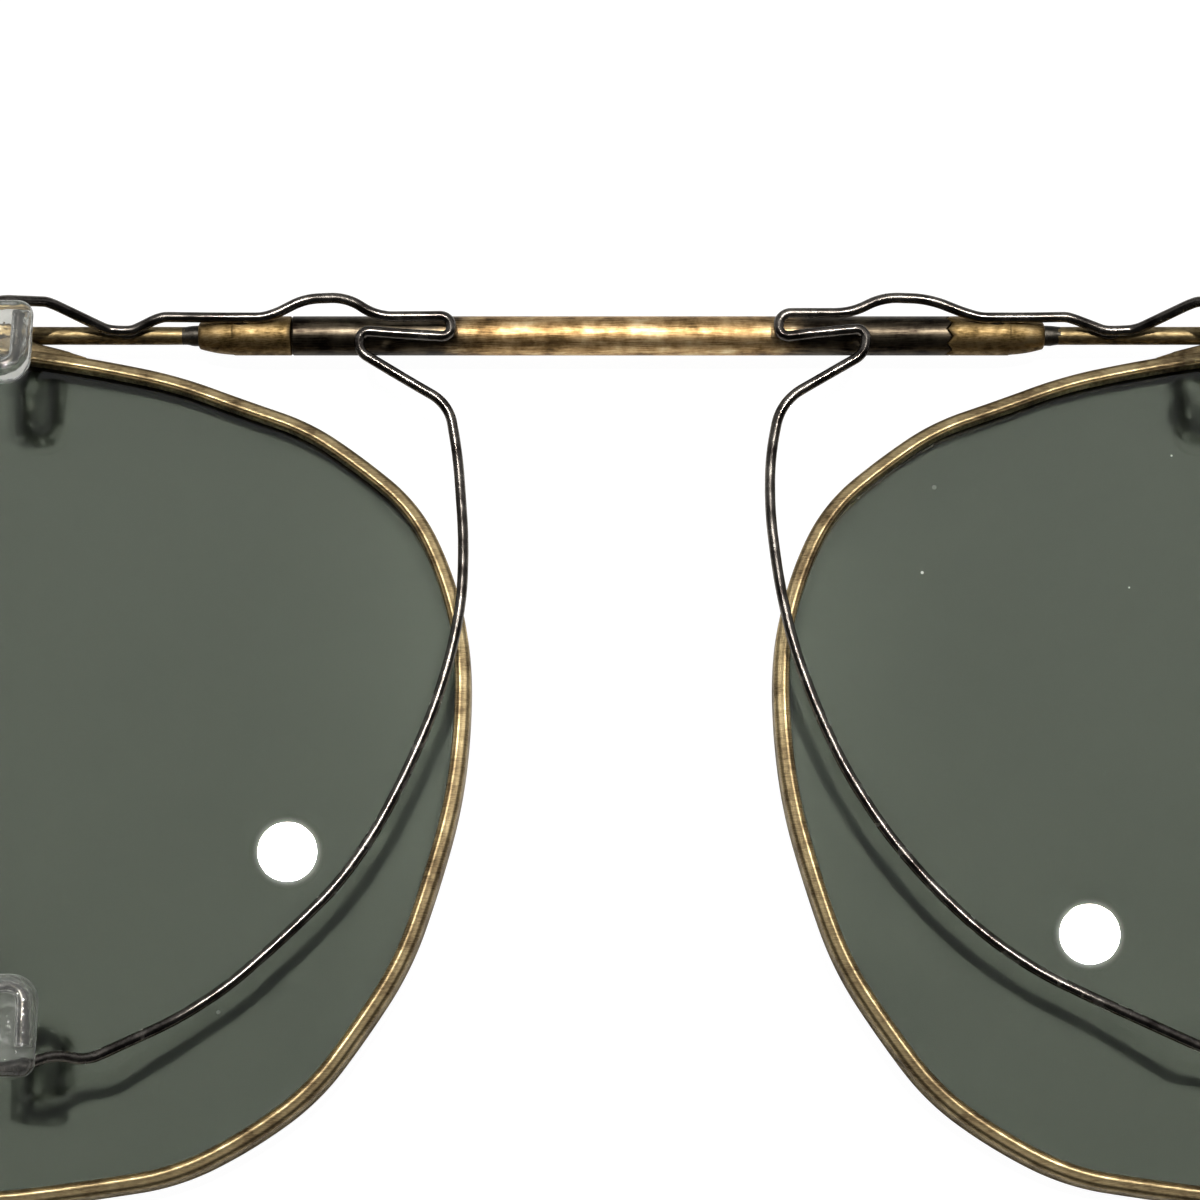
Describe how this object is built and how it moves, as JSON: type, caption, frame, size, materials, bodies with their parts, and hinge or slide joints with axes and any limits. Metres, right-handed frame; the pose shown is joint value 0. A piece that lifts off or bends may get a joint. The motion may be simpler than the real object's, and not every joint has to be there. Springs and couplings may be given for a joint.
{
  "type": "clip on sunglasses",
  "caption": "Clip-on sunglasses: gilt metal rims with tinted lenses on a sprung telescopic bridge tube, with wire claws and clear pads that hook over spectacles.",
  "frame": {"origin": "under the middle of the glasses, on the plane of the rims' front faces", "axes": "+Z from the front of the lenses towards the wearer, +Y up towards the top bars, X along the bridge"},
  "size_m": [0.1208, 0.0468, 0.008],
  "materials": {
    "bridge_brass": "aged gilt, dark towards the ends",
    "gilt_brass": "worn gilt",
    "gilt_rim": "brushed worn gilt",
    "bushing_brass": "turned",
    "spring_wire": "dark polished",
    "screw_steel": "bright",
    "smoke_glass": "polished grey green",
    "clear_pad": "clear soft plastic"
  },
  "bodies": {
    "bridge": {"bridge_tube": "bridge_brass", "bridge_spring": "screw_steel", "left_guide_bushing": "bushing_brass", "right_guide_bushing": "bushing_brass"},
    "left_frame": {"left_top_bar": "gilt_brass", "left_rod_head": "bushing_brass", "left_collar": "gilt_brass", "left_rim": "gilt_rim", "left_lens": "smoke_glass", "left_closing_block_upper": "gilt_rim", "left_closing_block_lower": "gilt_rim", "left_rim_screw": "screw_steel", "left_claw_wire": "spring_wire", "left_upper_pad": "clear_pad", "left_lower_pad": "clear_pad"},
    "right_frame": {"right_top_bar": "gilt_brass", "right_rod_head": "bushing_brass", "right_collar": "gilt_brass", "right_rim": "gilt_rim", "right_lens": "smoke_glass", "right_closing_block_upper": "gilt_rim", "right_closing_block_lower": "gilt_rim", "right_rim_screw": "screw_steel", "right_claw_wire": "spring_wire", "right_upper_pad": "clear_pad", "right_lower_pad": "clear_pad"}
  },
  "joints": [
    {"name": "left_slide", "type": "slide", "parent": "bridge", "child": "left_frame", "axis": [-1, 0, 0], "range_m": [0, 0.004], "stiffness_N_per_m": 150, "springref_m": -0.004, "deforming": ["bridge_spring"]},
    {"name": "right_slide", "type": "slide", "parent": "bridge", "child": "right_frame", "axis": [1, 0, 0], "range_m": [0, 0.004], "stiffness_N_per_m": 150, "springref_m": -0.004, "deforming": ["bridge_spring"]}
  ]
}
